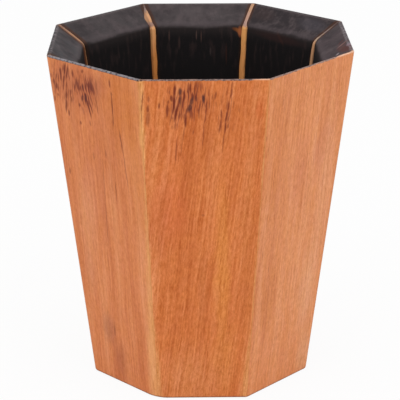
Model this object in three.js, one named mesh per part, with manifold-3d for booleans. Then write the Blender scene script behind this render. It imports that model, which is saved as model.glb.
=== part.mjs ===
// A whiskey tumbler of mitred wooden staves, glued edge to edge round a base panel that sits in a groove.
// Millimetres, +Z up. The origin is the middle of the foot, stave 1 faces -Y, and the count runs towards +X.
import * as THREE from "three";
import { mergeVertices } from "three/addons/utils/BufferGeometryUtils.js";
import Module from "manifold-3d";

// Driving dimensions of the staves
const STAVE_COUNT = 8;
const HEIGHT = 92;
const MOUTH_ACROSS_FLATS = 79.3;
const FOOT_ACROSS_FLATS = 58.7;
const WALL = 7; // a stave's thickness, measured level
const LIP_WIDTH = 0.8; // level land along the top of the rim
const BEVEL_DROP = 4.7; // how far the rim slopes down from the lip to the inside face
const FOOT_EASE = 0.6; // chamfer round the outside of the foot

// Driving dimensions of the base
const PANEL_THICKNESS = 6;
const PANEL_RECESS = 5; // from the foot up to the panel's underside
const GROOVE_DEPTH = 2.5; // how far the panel is let into the staves

// Driving dimensions of the glue
const GLUE_LINE = 0.2; // thickness of the cured glue in a mitre joint
const GLUE_INSET = 0.4; // the glue in a joint stops this far inside the wood's outer edges
const BEAD_WIDTH = 1.8; // the squeeze-out along an inside corner
const BEAD_RISE = 0.6; // how far the squeeze-out stands out of its corner
const SEAL_LEG = 2; // both legs of the bead that seals the base panel
const CLEARANCE = 0.05; // between neighbouring pieces

// Colours
const WOOD_COLOURS = [0xd07c46, 0xdd9062, 0xd58654, 0xcf8250, 0xd48a58, 0xcc7d4a, 0xd28452, 0xd18256];
const PANEL_COLOUR = 0x241d1b;
const GLUE_COLOUR = 0xc08a4a;
const WOOD_ROUGHNESS = 0.55;
const GLUE_ROUGHNESS = 0.4;

// Worked-out angles and heights
const STEP = (2 * Math.PI) / STAVE_COUNT;
const CORNER = 1 / Math.cos(STEP / 2); // a corner's distance from the axis, over its flat's distance
const PANEL_TOP = PANEL_RECESS + PANEL_THICKNESS;
const GROOVE_BOTTOM = PANEL_RECESS - CLEARANCE;
const GROOVE_TOP = PANEL_TOP + CLEARANCE;
const SEAL_FOOT = PANEL_TOP + CLEARANCE;
const SEAL_TOP = SEAL_FOOT + SEAL_LEG;
const BEAD_FOOT = SEAL_TOP + CLEARANCE;
const BEVEL_FOOT = HEIGHT - BEVEL_DROP;
const LIP_INNER = MOUTH_ACROSS_FLATS / 2 - LIP_WIDTH;

const wasm = await Module();
wasm.setup();

// Distance from the axis to the flat of the outside face, at a height.
function outside(z) {
  const flare = (MOUTH_ACROSS_FLATS - FOOT_ACROSS_FLATS) / 2;
  return FOOT_ACROSS_FLATS / 2 + (flare * z) / HEIGHT;
}

// Distance from the axis to the flat of the inside face, at a height.
function inside(z) {
  return outside(z) - WALL;
}

// Distance from the axis to the flat of the rim's bevel, at a height.
function bevel(z) {
  const share = (z - BEVEL_FOOT) / BEVEL_DROP;
  return THREE.MathUtils.lerp(inside(BEVEL_FOOT), LIP_INNER, share);
}

// Flat distances turned into distances along the corners.
function atCorner(points) {
  return points.map(([distance, z]) => [distance * CORNER, z]);
}

// A plate of even thickness that stands upright on the -Y side, from [distance, height] points.
function uprightPlate(points, thickness) {
  const shape = new THREE.Shape(points.map(([distance, z]) => new THREE.Vector2(distance, z)));
  const plate = new THREE.ExtrudeGeometry(shape, { depth: thickness, bevelEnabled: false });
  plate.translate(0, 0, -thickness / 2);
  return plate.rotateX(Math.PI / 2).rotateZ(-Math.PI / 2);
}

// A many-sided ring or block round the axis, from [flat distance, height] points, with a flat or a
// corner on its -Y side.
function facetedRing(points, cornerInFront) {
  const profile = atCorner(points).map(([distance, z]) => new THREE.Vector2(distance, z));
  const start = cornerInFront ? 0 : STEP / 2;
  return new THREE.LatheGeometry(profile, STAVE_COUNT, start).rotateX(Math.PI / 2);
}

function solidFrom(geometry) {
  const bare = geometry.clone();
  bare.deleteAttribute("normal");
  bare.deleteAttribute("uv");
  const merged = mergeVertices(bare, 1e-4);
  return new wasm.Manifold(
    new wasm.Mesh({
      numProp: 3,
      vertProperties: merged.attributes.position.array,
      triVerts: new Uint32Array(merged.index.array),
    }),
  );
}

function geometryFrom(solid) {
  const mesh = solid.getMesh();
  const geometry = new THREE.BufferGeometry();
  geometry.setAttribute("position", new THREE.BufferAttribute(mesh.vertProperties, 3));
  geometry.setIndex(new THREE.BufferAttribute(mesh.triVerts, 1));
  geometry.computeVertexNormals();
  return geometry;
}

// One stave: its section drawn out sideways to the two mitre planes.
function staveGeometry() {
  const section = [
    [outside(0) - FOOT_EASE, 0],
    [outside(FOOT_EASE), FOOT_EASE],
    [outside(HEIGHT), HEIGHT],
    [LIP_INNER, HEIGHT],
    [inside(BEVEL_FOOT), BEVEL_FOOT],
    [inside(GROOVE_TOP), GROOVE_TOP],
    [inside(GROOVE_TOP) + GROOVE_DEPTH, GROOVE_TOP],
    [inside(GROOVE_BOTTOM) + GROOVE_DEPTH, GROOVE_BOTTOM],
    [inside(GROOVE_BOTTOM), GROOVE_BOTTOM],
    [inside(0), 0],
  ];
  const board = uprightPlate(section, 1);
  const halfJoint = (GLUE_LINE / 2 + CLEARANCE) * CORNER;
  const places = board.attributes.position;
  for (let i = 0; i < places.count; i++) {
    const halfWidth = -places.getY(i) * Math.tan(STEP / 2) - halfJoint;
    places.setX(i, Math.sign(places.getX(i)) * halfWidth);
  }
  board.computeVertexNormals();
  return board;
}

// One glue seam: the thin film in a mitre joint, and its squeeze-out up the inside corner and over the bevel.
function seamGeometry() {
  const filmTop = HEIGHT - GLUE_INSET;
  const filmReach = BEAD_RISE / 2;
  const film = [
    [outside(GLUE_INSET) - FOOT_EASE - GLUE_INSET, GLUE_INSET],
    [outside(FOOT_EASE) - GLUE_INSET, GLUE_INSET + FOOT_EASE],
    [outside(filmTop) - GLUE_INSET, filmTop],
    [bevel(filmTop) - filmReach, filmTop],
    [inside(BEVEL_FOOT) - filmReach, BEVEL_FOOT],
    [inside(BEAD_FOOT), BEAD_FOOT],
    [inside(GROOVE_TOP), GROOVE_TOP],
    [inside(GROOVE_TOP) + GROOVE_DEPTH, GROOVE_TOP],
    [inside(GROOVE_BOTTOM) + GROOVE_DEPTH, GROOVE_BOTTOM],
    [inside(GROOVE_BOTTOM) + GLUE_INSET, GROOVE_BOTTOM],
    [inside(GLUE_INSET) + GLUE_INSET, GLUE_INSET],
  ];
  const bead = [
    [inside(BEAD_FOOT) + BEAD_RISE, BEAD_FOOT],
    [inside(BEVEL_FOOT) + BEAD_RISE, BEVEL_FOOT - BEAD_RISE],
    [LIP_INNER + BEAD_RISE, HEIGHT],
    [LIP_INNER - BEAD_RISE, HEIGHT + BEAD_RISE / 2],
    [inside(BEVEL_FOOT) - BEAD_RISE, BEVEL_FOOT + BEAD_RISE / 2],
    [inside(BEAD_FOOT) - BEAD_RISE, BEAD_FOOT],
  ];
  const hollow = [
    [0, SEAL_FOOT],
    [inside(SEAL_FOOT) - CLEARANCE, SEAL_FOOT],
    [inside(BEVEL_FOOT) - CLEARANCE, BEVEL_FOOT],
    [LIP_INNER - CLEARANCE, HEIGHT],
    [0, HEIGHT],
  ];
  const filmSolid = solidFrom(uprightPlate(atCorner(film), GLUE_LINE));
  const beadSolid = solidFrom(uprightPlate(atCorner(bead), BEAD_WIDTH));
  const hollowSolid = solidFrom(facetedRing(hollow, true));
  return geometryFrom(filmSolid.add(beadSolid.intersect(hollowSolid)));
}

// The base panel: a board whose slanted edge fills the groove.
function panelGeometry() {
  const reach = GROOVE_DEPTH - CLEARANCE;
  const points = [
    [0, PANEL_RECESS],
    [inside(PANEL_RECESS) + reach, PANEL_RECESS],
    [inside(PANEL_TOP) + reach, PANEL_TOP],
    [0, PANEL_TOP],
  ];
  return facetedRing(points, false);
}

// The glue bead that seals the base panel to the staves inside.
function sealGeometry() {
  const points = [
    [inside(SEAL_FOOT) - CLEARANCE - SEAL_LEG, SEAL_FOOT],
    [inside(SEAL_FOOT) - CLEARANCE, SEAL_FOOT],
    [inside(SEAL_TOP) - CLEARANCE, SEAL_TOP],
  ];
  return facetedRing([...points, points[0]], false);
}

function namedMesh(name, geometry, color, roughness) {
  const mesh = new THREE.Mesh(geometry, new THREE.MeshStandardMaterial({ color, roughness, metalness: 0 }));
  mesh.name = name;
  return mesh;
}

const tumbler = new THREE.Group();
const staveShape = staveGeometry();
const seamShape = seamGeometry();
for (let i = 0; i < STAVE_COUNT; i++) {
  const colour = WOOD_COLOURS[i % WOOD_COLOURS.length];
  const stave = namedMesh(`stave_${i + 1}`, staveShape, colour, WOOD_ROUGHNESS);
  stave.rotation.z = i * STEP;
  const seam = namedMesh(`glue_seam_${i + 1}`, seamShape, GLUE_COLOUR, GLUE_ROUGHNESS);
  seam.rotation.z = (i + 0.5) * STEP;
  tumbler.add(stave, seam);
}
tumbler.add(namedMesh("base_panel", panelGeometry(), PANEL_COLOUR, WOOD_ROUGHNESS));
tumbler.add(namedMesh("base_seal", sealGeometry(), GLUE_COLOUR, GLUE_ROUGHNESS));

export default tumbler;
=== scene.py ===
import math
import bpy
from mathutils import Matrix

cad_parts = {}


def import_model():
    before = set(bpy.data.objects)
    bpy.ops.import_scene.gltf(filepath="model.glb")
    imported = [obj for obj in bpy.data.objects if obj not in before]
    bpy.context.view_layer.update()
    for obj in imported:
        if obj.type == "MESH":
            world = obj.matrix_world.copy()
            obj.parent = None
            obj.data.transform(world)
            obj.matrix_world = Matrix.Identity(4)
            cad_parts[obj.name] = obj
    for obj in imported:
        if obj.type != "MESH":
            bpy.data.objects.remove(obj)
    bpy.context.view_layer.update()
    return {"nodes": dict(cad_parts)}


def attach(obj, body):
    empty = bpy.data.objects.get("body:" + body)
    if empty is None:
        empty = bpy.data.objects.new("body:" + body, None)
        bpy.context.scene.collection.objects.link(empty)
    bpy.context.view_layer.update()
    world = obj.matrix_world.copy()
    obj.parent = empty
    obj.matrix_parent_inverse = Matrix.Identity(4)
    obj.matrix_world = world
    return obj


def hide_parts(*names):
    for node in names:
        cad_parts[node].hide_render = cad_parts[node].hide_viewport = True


bl_info = {
    "name": "Charred Stave Tumbler",
    "version": (1, 0, 0),
    "blender": (4, 5, 0),
    "location": "View3D > Sidebar > Tumbler",
    "description": "Models a wooden tumbler of eight glued staves and gives it grain, char and glue",
    "category": "Object",
}

from functools import reduce

import bmesh
import bpy
from bpy.props import FloatProperty, FloatVectorProperty, PointerProperty
from mathutils import Vector

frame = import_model()

MM = 0.001
STAVES = 8
STEP = 2 * math.pi / STAVES
CORNER = 1 / math.cos(STEP / 2)  # a corner's distance from the axis, over its flat's distance
TIGHT = 1e-6  # two points closer than this, in metres, are one
WORN_SEAM = 8  # the seam whose outside corner is worn the most
BEAD_SIDES = 14  # sides of a squeeze-out's section
BEVEL_STEPS, BEND_STEPS, WALL_STEPS = 16, 6, 40  # steps of a squeeze-out on the bevel, at its foot and below
BEND_REACH = 1.0 * MM  # how far from the bevel's foot a squeeze-out starts to bend
BEAD_SWAY, BEAD_SWELL = 0.08, 0.05  # how uneven a squeeze-out's place and width are, over half its width
SEAL_CUTS = 11  # cuts across each of the seal's eight sides
SEAL_ROWS = 6  # rows of faces on the seal's rounded side
SEAL_SEED = 4  # where the seal's unevenness starts

# How far a seam leans off the regular octagon at the rim, in millimetres: towards +X and towards +Y
DRIFT = {2: (0.0, 2.1), 3: (0.0, 1.5), 5: (0.5, 0.0), 6: (0.3, -1.0), 8: (0.85, 0.0)}


def levels(node):
    """The heights of a node's corners, each with the nearest and farthest distance of its -Y side."""
    rows = {}
    for vertex in frame["nodes"][node].data.vertices:
        if vertex.co.y < 0:
            rows.setdefault(round(vertex.co.z, 5), []).append(-vertex.co.y)
    return [(z, min(rows[z]), max(rows[z])) for z in sorted(rows)]


FOOT, EASE, GROOVE_LOW, GROOVE_HIGH, BEVEL_FOOT, RIM = levels("stave_1")
HEIGHT = RIM[0]
FLARE = (RIM[2] - EASE[2]) / (HEIGHT - EASE[0])


def outside(z):
    """Distance from the axis to the outside face's flat, at a height."""
    return RIM[2] - FLARE * (HEIGHT - z)


WALL = outside(0) - FOOT[1]

# Where the photograph was taken from
VIEW_TARGET = Vector((0, 0, HEIGHT / 2))
VIEW_DISTANCE = 4.768 * HEIGHT
VIEW_ELEVATION = math.radians(20.55)
VIEW_TURN = math.radians(1.03)
VIEW_LENS = 142.85  # millimetres, on a 36 mm sensor

# The studio lamps: place, power in watts and size, in metres
LAMPS = {
    "key": ((0.8, -0.75, 0.7), 3.6, 0.8),
    "fill": ((-0.8, -0.75, 0.5), 3.0, 0.8),
    "low": ((0.0, -1.1, 0.2), 0.5, 0.6),
    "top": ((0.0, 0.1, 1.1), 2.5, 0.8),
}
FLOOR_SIZE = 8  # metres
FLOOR_GLOW = 0.93  # the share of the seen floor that is plain white; the rest is lit and keeps the shadow
SKY_LIGHT = 0.6  # the strength of the white world as a light, where it is seen at a strength of 1


def linear(code):
    """A hexadecimal screen colour as linear red, green and blue."""
    shares = [int(code[i:i + 2], 16) / 255 for i in (0, 2, 4)]
    return tuple(s / 12.92 if s <= 0.04045 else ((s + 0.055) / 1.055) ** 2.4 for s in shares)


# Each stave's board. Dark, body and light are its tones, lean is how far its grain leans sideways for each
# millimetre up, fine is how strongly its fine grain shows, and seed is where its noise starts.
BOARDS = {
    1: {"dark": "c26937", "body": "cf7641", "light": "d78350", "lean": 0.11, "fine": 0.85, "seed": 3.0},
    2: {"dark": "d38459", "body": "dc8d5d", "light": "e2976a", "lean": 0.0, "fine": 0.72, "seed": 11.0},
    3: {"dark": "bd6d3d", "body": "d07f4d", "light": "df9761", "lean": 0.03, "fine": 0.9, "seed": 19.0},
    4: {"dark": "b4622f", "body": "c97444", "light": "da8d58", "lean": -0.06, "fine": 1.0, "seed": 27.0},
    5: {"dark": "c07246", "body": "d48654", "light": "e29c6c", "lean": 0.05, "fine": 0.85, "seed": 35.0},
    6: {"dark": "b36336", "body": "c8754a", "light": "d98e60", "lean": -0.02, "fine": 1.0, "seed": 43.0},
    7: {"dark": "be6d40", "body": "d18051", "light": "df9767", "lean": 0.02, "fine": 0.85, "seed": 51.0},
    8: {"dark": "c87347", "body": "d58253", "light": "dc8e60", "lean": 0.03, "fine": 0.55, "seed": 59.0},
}

# The fine grain's darkest and lightest tones, as steps from the wood in screen colour
DARK_GRAIN, LIGHT_GRAIN = -32, 23

# A mark's oval over its half width and over its length, and how hard the borders of marks and of stains are
MARK_WIDTH, MARK_LENGTH = 1.25, 0.72
MARK_EDGE, STAIN_EDGE = 1.8, 1.5

# Each stave's rim. Char is the tone of its bevel, ash is how pale its lip is worn, scorch is how far the char
# runs over the outer edge in millimetres, bare is where along the lip the wood shows, lip is the lip's own
# worn tone where it isn't ash, and burnt is how much farther than usual the brown by the glue reaches.
RIMS = {
    1: {"char": "4a4344", "ash": 0.6, "scorch": 0.25, "bare": (13.0, 18.0), "lip": "be9a8c"},
    2: {"char": "4a4344", "ash": 0.7, "scorch": 0.1, "bare": (10.0, 20.0), "lip": "b9978a"},
    3: {"char": "483c3f", "ash": 0.5, "scorch": 0.15, "bare": (-18.0, -15.0)},
    4: {"char": "302a2c", "ash": 0.05, "scorch": 0.2, "bare": None},
    5: {"char": "4a4344", "ash": 0.05, "scorch": 0.2, "bare": None},
    6: {"char": "484243", "ash": 0.05, "scorch": 0.2, "bare": None, "burnt": 0.3},
    7: {"char": "4a4749", "ash": 0.4, "scorch": 0.3, "bare": None, "burnt": 1.1},
    8: {"char": "4a4344", "ash": 0.66, "scorch": 0.4, "bare": None},
}

# Dark pore marks on the boards, by tint: across and up of the top, the same of the bottom, half the width and
# the strength
MARKS = {
    1: {
        "702c1c": (
            (-13.3, 87.8, -13.3, 86.2, 0.3, 0.5), (-13.4, 85.4, -13.5, 83.4, 0.35, 0.7),
            (-13.4, 83.8, -13.6, 80.0, 0.6, 0.5), (-10.7, 85.9, -10.8, 84.5, 0.25, 0.7),
            (-8.4, 86.7, -8.5, 85.8, 0.25, 0.6),
            (-8.6, 85.8, -8.9, 82.2, 0.3, 0.7), (-8.2, 89.2, -8.3, 88.3, 0.3, 0.35),
            (-7.6, 87.9, -7.6, 86.4, 0.35, 0.8), (-6.8, 90.8, -7.0, 87.5, 0.28, 0.9),
            (-6.9, 88.0, -7.2, 83.7, 0.35, 0.95), (-6.2, 85.3, -6.9, 81.5, 0.35, 0.9),
            (-7.5, 82.4, -7.5, 81.6, 0.3, 0.4), (-4.5, 89.0, -4.6, 86.2, 0.3, 0.65),
            (-3.0, 91.3, -3.1, 88.5, 0.22, 0.9), (-1.9, 91.0, -2.1, 87.7, 0.25, 0.75),
            (-0.6, 86.5, -0.6, 85.5, 0.25, 0.5), (1.0, 86.8, 0.7, 82.7, 0.25, 0.75),
            (0.7, 83.0, 0.5, 80.7, 0.2, 0.6), (-4.1, 82.5, -4.3, 79.5, 0.3, 0.9),
            (-4.4, 80.0, -5.0, 75.7, 0.22, 0.4), (-5.0, 76.2, -5.4, 72.0, 0.2, 0.3),
            (-2.2, 78.8, -2.5, 77.5, 0.2, 0.5), (-6.4, 76.5, -6.8, 70.0, 0.2, 0.5),
            (3.2, 88.8, 3.0, 87.0, 0.25, 0.6), (7.2, 91.5, 7.0, 89.5, 0.2, 0.55),
            (7.1, 89.8, 6.9, 87.5, 0.28, 0.7), (6.4, 86.5, 6.1, 83.7, 0.28, 0.75),
            (6.1, 84.0, 5.6, 80.7, 0.28, 0.85), (5.6, 81.0, 5.5, 78.2, 0.25, 0.8),
            (5.3, 78.4, 4.9, 73.0, 0.2, 0.5), (4.5, 84.0, 4.6, 81.7, 0.22, 0.7),
            (4.6, 81.7, 4.0, 78.0, 0.22, 0.65), (6.2, 80.2, 6.2, 79.2, 0.2, 0.5),
            (0.3, 80.6, 0.0, 74.2, 0.18, 0.5), (8.9, 84.6, 8.9, 83.4, 0.25, 0.3),
            (0.5, 55.4, -0.1, 55.0, 0.4, 0.4),
            (-14.6, 88.8, -14.9, 85.7, 0.18, 0.6), (-14.9, 85.8, -15.1, 83.7, 0.18, 0.6),
            (-15.1, 83.8, -15.1, 80.5, 0.16, 0.5),
        ),
        "56302a": (
            (-5.6, 89.8, -5.6, 88.0, 0.5, 0.85), (-5.5, 87.8, -5.5, 85.5, 0.45, 0.6),
            (-2.4, 87.5, -3.0, 85.3, 0.5, 0.8), (-2.9, 85.8, -3.6, 83.7, 0.55, 0.85),
            (-1.6, 87.6, -1.6, 86.4, 0.4, 0.4), (0.1, 88.0, 0.1, 86.2, 0.4, 0.95),
        ),
    },
    2: {
        "8a4a2c": (
            (-15.4, 76.8, -15.4, 75.4, 0.25, 0.4), (-14.3, 73.6, -14.4, 72.2, 0.2, 0.4),
            (-15.0, 52.6, -14.9, 50.4, 0.25, 0.5), (-9.0, 38.6, -9.1, 36.8, 0.2, 0.4),
            (-12.2, 44.0, -12.2, 41.8, 0.2, 0.3), (-10.2, 85.6, -10.3, 83.8, 0.18, 0.35),
            (4.0, 91.0, 4.2, 89.8, 0.2, 0.35), (1.6, 52.0, 1.6, 50.8, 0.18, 0.3),
            (5.1, 77.6, 5.2, 75.0, 0.15, 0.3), (-6.8, 64.0, -6.8, 61.4, 0.15, 0.25),
        ),
    },
    3: {
        "5f2e24": (
            (-3.4, 90.6, -3.6, 87.2, 0.25, 0.6), (1.8, 86.4, 1.6, 82.8, 0.22, 0.5),
            (9.2, 88.8, 9.0, 86.2, 0.28, 0.5), (-9.6, 79.4, -9.9, 74.8, 0.2, 0.4),
        ),
    },
    4: {
        "5a2a22": (
            (-6.0, 90.8, -5.8, 86.6, 0.3, 0.8), (-4.6, 88.4, -4.4, 84.2, 0.28, 0.7),
            (-7.4, 86.8, -7.2, 84.6, 0.3, 0.6), (2.6, 90.2, 2.9, 84.8, 0.24, 0.7),
            (3.9, 85.4, 4.1, 81.0, 0.22, 0.6), (10.4, 87.0, 10.6, 83.6, 0.26, 0.5),
            (-11.8, 82.6, -11.6, 78.8, 0.24, 0.5), (0.4, 79.6, 0.6, 75.2, 0.2, 0.5),
        ),
    },
    5: {
        "6a3426": (
            (5.8, 89.8, 5.6, 86.4, 0.28, 0.6), (-2.4, 87.6, -2.7, 82.8, 0.22, 0.5),
            (11.0, 84.2, 10.8, 81.2, 0.24, 0.4), (-8.6, 77.0, -8.9, 71.4, 0.2, 0.35),
        ),
    },
    6: {
        "5a2a22": (
            (-9.8, 90.4, -9.7, 87.2, 0.32, 0.7), (-8.2, 88.2, -8.1, 83.4, 0.26, 0.7),
            (-1.4, 89.6, -1.3, 85.8, 0.34, 0.8), (0.2, 86.6, 0.3, 82.4, 0.26, 0.6),
            (6.6, 91.0, 6.8, 86.8, 0.22, 0.6), (7.8, 84.6, 7.9, 79.8, 0.2, 0.5),
            (-4.9, 80.8, -4.8, 76.6, 0.2, 0.4),
        ),
    },
    7: {
        "5f2e24": (
            (3.4, 90.2, 3.2, 87.0, 0.26, 0.6), (-6.4, 88.6, -6.6, 84.2, 0.24, 0.5),
            (8.8, 86.2, 8.6, 83.2, 0.28, 0.5), (-11.6, 80.2, -11.8, 76.4, 0.2, 0.4),
        ),
    },
    8: {
        "6e2f22": (
            (-9.5, 91.2, -10.4, 87.7, 0.35, 0.9), (-10.3, 88.0, -11.0, 85.7, 0.35, 0.85),
            (-8.6, 90.5, -9.8, 87.0, 0.35, 0.8), (-11.6, 89.6, -11.7, 87.7, 0.45, 0.75),
            (-7.0, 89.8, -7.1, 87.9, 0.4, 0.7), (-3.0, 90.6, -3.6, 89.9, 0.4, 0.65),
            (-14.6, 86.1, -14.7, 84.4, 0.4, 0.8), (-13.7, 85.2, -13.9, 83.4, 0.4, 0.8),
            (-15.5, 87.3, -15.5, 86.2, 0.5, 0.4), (-13.6, 82.3, -13.6, 81.5, 0.35, 0.5),
            (-15.1, 81.2, -15.2, 79.8, 0.35, 0.6), (-10.2, 83.3, -10.6, 81.2, 0.35, 0.8),
            (-10.5, 81.6, -11.2, 77.7, 0.35, 0.8), (-10.1, 78.4, -10.2, 76.8, 0.35, 0.7),
            (-8.5, 82.4, -8.6, 80.9, 0.3, 0.6),
            (-5.6, 81.2, -5.7, 80.3, 0.35, 0.7), (-6.0, 76.2, -6.1, 75.3, 0.35, 0.7),
            (-2.5, 82.3, -1.9, 78.2, 0.28, 0.9), (-2.4, 77.2, -2.4, 75.7, 0.3, 0.4),
            (-1.5, 81.9, -1.1, 79.5, 0.25, 0.8), (0.4, 84.7, 1.0, 80.0, 0.22, 0.45),
            (6.4, 90.0, 6.3, 88.0, 0.35, 0.7), (6.7, 86.8, 6.7, 85.7, 0.25, 0.6),
            (6.6, 85.8, 6.4, 80.0, 0.22, 0.8), (6.4, 80.6, 6.2, 77.6, 0.2, 0.6),
            (8.2, 76.8, 8.5, 71.6, 0.22, 0.65),
            (-2.5, 68.3, -2.5, 66.1, 0.3, 0.35),
            (4.6, 62.0, 4.5, 55.8, 0.2, 0.45), (2.3, 70.2, 2.3, 68.0, 0.25, 0.35),
            (-12.6, 61.5, -12.6, 59.9, 0.35, 0.45), (8.6, 74.5, 9.3, 61.2, 0.2, 0.4),
            (0.6, 66.5, 0.1, 54.5, 0.2, 0.3), (0.1, 55.5, -0.5, 43.4, 0.2, 0.3),
            (-1.9, 17.4, -2.1, 14.6, 0.35, 0.4),
            (-1.6, 88.3, -1.4, 84.9, 0.25, 0.6), (-2.6, 87.6, -2.6, 84.9, 0.25, 0.5),
            (1.3, 88.9, 1.5, 85.2, 0.25, 0.45), (0.3, 86.9, 0.4, 84.5, 0.25, 0.5),
            (-4.6, 88.3, -5.4, 85.4, 0.28, 0.5), (-6.0, 87.4, -6.9, 84.5, 0.28, 0.5),
        ),
        "5e2d28": (
            (-3.7, 86.8, -3.9, 85.0, 0.42, 0.8), (-4.1, 83.8, -4.5, 82.0, 0.42, 0.85),
            (-2.9, 84.2, -3.2, 82.3, 0.5, 0.85), (-5.2, 87.8, -6.8, 85.0, 0.9, 0.2),
            (-0.4, 89.0, -0.5, 85.3, 0.5, 0.5),
        ),
    },
}

# Clouds of fine dark streaks: across, up, half width, half height, strength and the streaks' lean
CLUSTERS = {
    1: (
        (-3.2, 86.6, 7.0, 6.0, 1.0, 0.07), (-6.5, 83.5, 2.6, 4.5, 0.7, 0.1), (5.8, 83.5, 2.6, 8.0, 0.4, 0.12),
    ),
    2: (),
    3: ((2.0, 88.0, 8.0, 5.0, 0.5, 0.03),),
    4: ((-5.0, 86.5, 6.0, 6.0, 0.9, -0.05), (4.0, 86.0, 4.0, 7.0, 0.6, -0.05)),
    5: ((4.0, 88.0, 7.0, 5.5, 0.6, 0.05),),
    6: ((-7.0, 87.0, 5.5, 6.5, 0.9, -0.02), (2.0, 86.0, 5.0, 6.0, 0.7, -0.02)),
    7: ((-3.0, 88.0, 8.0, 5.5, 0.5, 0.03),),
    8: ((-11.0, 85.6, 5.6, 7.0, 0.8, 0.12), (-3.0, 84.8, 5.2, 6.4, 1.0, -0.12)),
}

# Broad stains: across, up, half width, half height, colour and strength
STAINS = {
    1: (
        (-8.0, 58.0, 5.0, 14.0, "cc6038", 0.3), (-7.0, 74.0, 4.0, 9.0, "c8643c", 0.2),
        (5.2, 40.0, 2.6, 30.0, "d98a44", 0.5), (-0.1, 34.0, 1.6, 16.0, "ba6a3c", 0.35),
        (6.0, 12.0, 4.0, 14.0, "d98c4c", 0.35), (12.4, 79.0, 2.6, 18.0, "bc6434", 0.4),
        (1.4, 76.0, 2.0, 16.0, "b46034", 0.4), (14.2, 84.5, 1.2, 4.0, "c9602c", 0.4),
        (-3.0, 4.0, 11.0, 16.0, "d98e5c", 0.45),
        (11.8, 40.0, 2.4, 36.0, "c87440", 0.5), (-11.0, 52.0, 4.5, 15.0, "bc6036", 0.45),
        (-15.6, 76.5, 1.4, 6.5, "f0b478", 0.85),
    ),
    2: (
        (-12.5, 83.0, 2.5, 8.0, "c8733c", 0.4), (-8.0, 28.0, 3.5, 14.0, "cd7d48", 0.4),
        (-0.6, 62.0, 5.0, 14.0, "d28360", 0.45), (7.0, 64.7, 3.0, 8.0, "cf8468", 0.4),
        (11.0, 56.0, 4.0, 30.0, "e0a07c", 0.3), (8.0, 26.0, 5.0, 18.0, "e4a680", 0.45),
        (10.0, 6.0, 3.5, 10.0, "e2a67e", 0.5), (9.0, 70.0, 4.0, 8.0, "d08460", 0.35),
        (-12.6, 34.0, 1.8, 34.0, "d08258", 0.5), (-12.0, 70.0, 4.5, 16.0, "c87038", 0.3),
    ),
    3: ((-6.0, 60.0, 3.0, 24.0, "c87446", 0.4), (7.0, 30.0, 4.0, 20.0, "dc9462", 0.4)),
    4: ((3.0, 48.0, 3.5, 26.0, "b9683a", 0.4), (-8.0, 24.0, 3.5, 18.0, "d58a54", 0.4)),
    5: ((-4.0, 56.0, 4.0, 22.0, "cc7850", 0.4), (9.0, 40.0, 3.0, 26.0, "e2a272", 0.4)),
    6: ((6.0, 62.0, 3.0, 20.0, "bd6a44", 0.4), (-5.0, 22.0, 4.0, 16.0, "b36246", 0.4)),
    7: ((-2.0, 50.0, 3.0, 28.0, "c47048", 0.4), (8.0, 70.0, 4.0, 16.0, "dc9460", 0.4)),
    8: (
        (-0.9, 56.0, 1.8, 24.0, "bd6d4e", 0.3), (-5.6, 56.0, 3.5, 12.0, "dc9070", 0.35),
        (-9.3, 32.0, 3.0, 9.0, "cf8a68", 0.35), (-4.2, 16.0, 3.6, 6.0, "a8684e", 0.5),
        (-8.0, 47.0, 4.6, 15.0, "e09a70", 0.4), (-1.0, 7.0, 3.4, 8.0, "ac6244", 0.5),
        (13.0, 70.0, 4.0, 26.0, "d07e44", 0.5), (9.5, 84.0, 8.0, 15.0, "c66e2e", 0.55),
        (0.8, 87.0, 4.6, 4.5, "864636", 0.28), (-5.8, 86.4, 2.0, 2.8, "864636", 0.15),
        (-6.0, 86.0, 11.0, 9.0, "b6603c", 0.4), (4.0, 72.0, 5.0, 20.0, "bc663a", 0.4),
        (16.0, 76.5, 0.8, 6.0, "e8a868", 0.7), (-8.4, 75.0, 2.0, 12.0, "b8643c", 0.4),
    ),
}

# Strips along a board's long edges: the side, then height, distance from the edge and half width at two
# levels, then colour and strength
STRIPS = {
    1: (
        (-1, (90.0, 0.4, 0.6), (58.0, 0.0, 0.0), "e2a468", 0.7),
        (-1, (34.0, 0.0, -0.2), (4.0, 0.3, 1.2), "de9e64", 0.65),
        (1, (22.0, 0.1, 0.1), (3.0, 0.9, 0.8), "dfa468", 0.55),
    ),
    2: ((-1, (80.0, 0.0, 0.4), (62.0, 0.0, 0.0), "cb6f38", 0.5),),
    8: (
        (1, (66.0, 0.1, 0.0), (4.0, 0.5, 1.8), "e09e66", 0.75),
        (1, (90.0, 0.3, 0.6), (62.0, 0.0, 0.0), "d9985a", 0.45),
    ),
}

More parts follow.
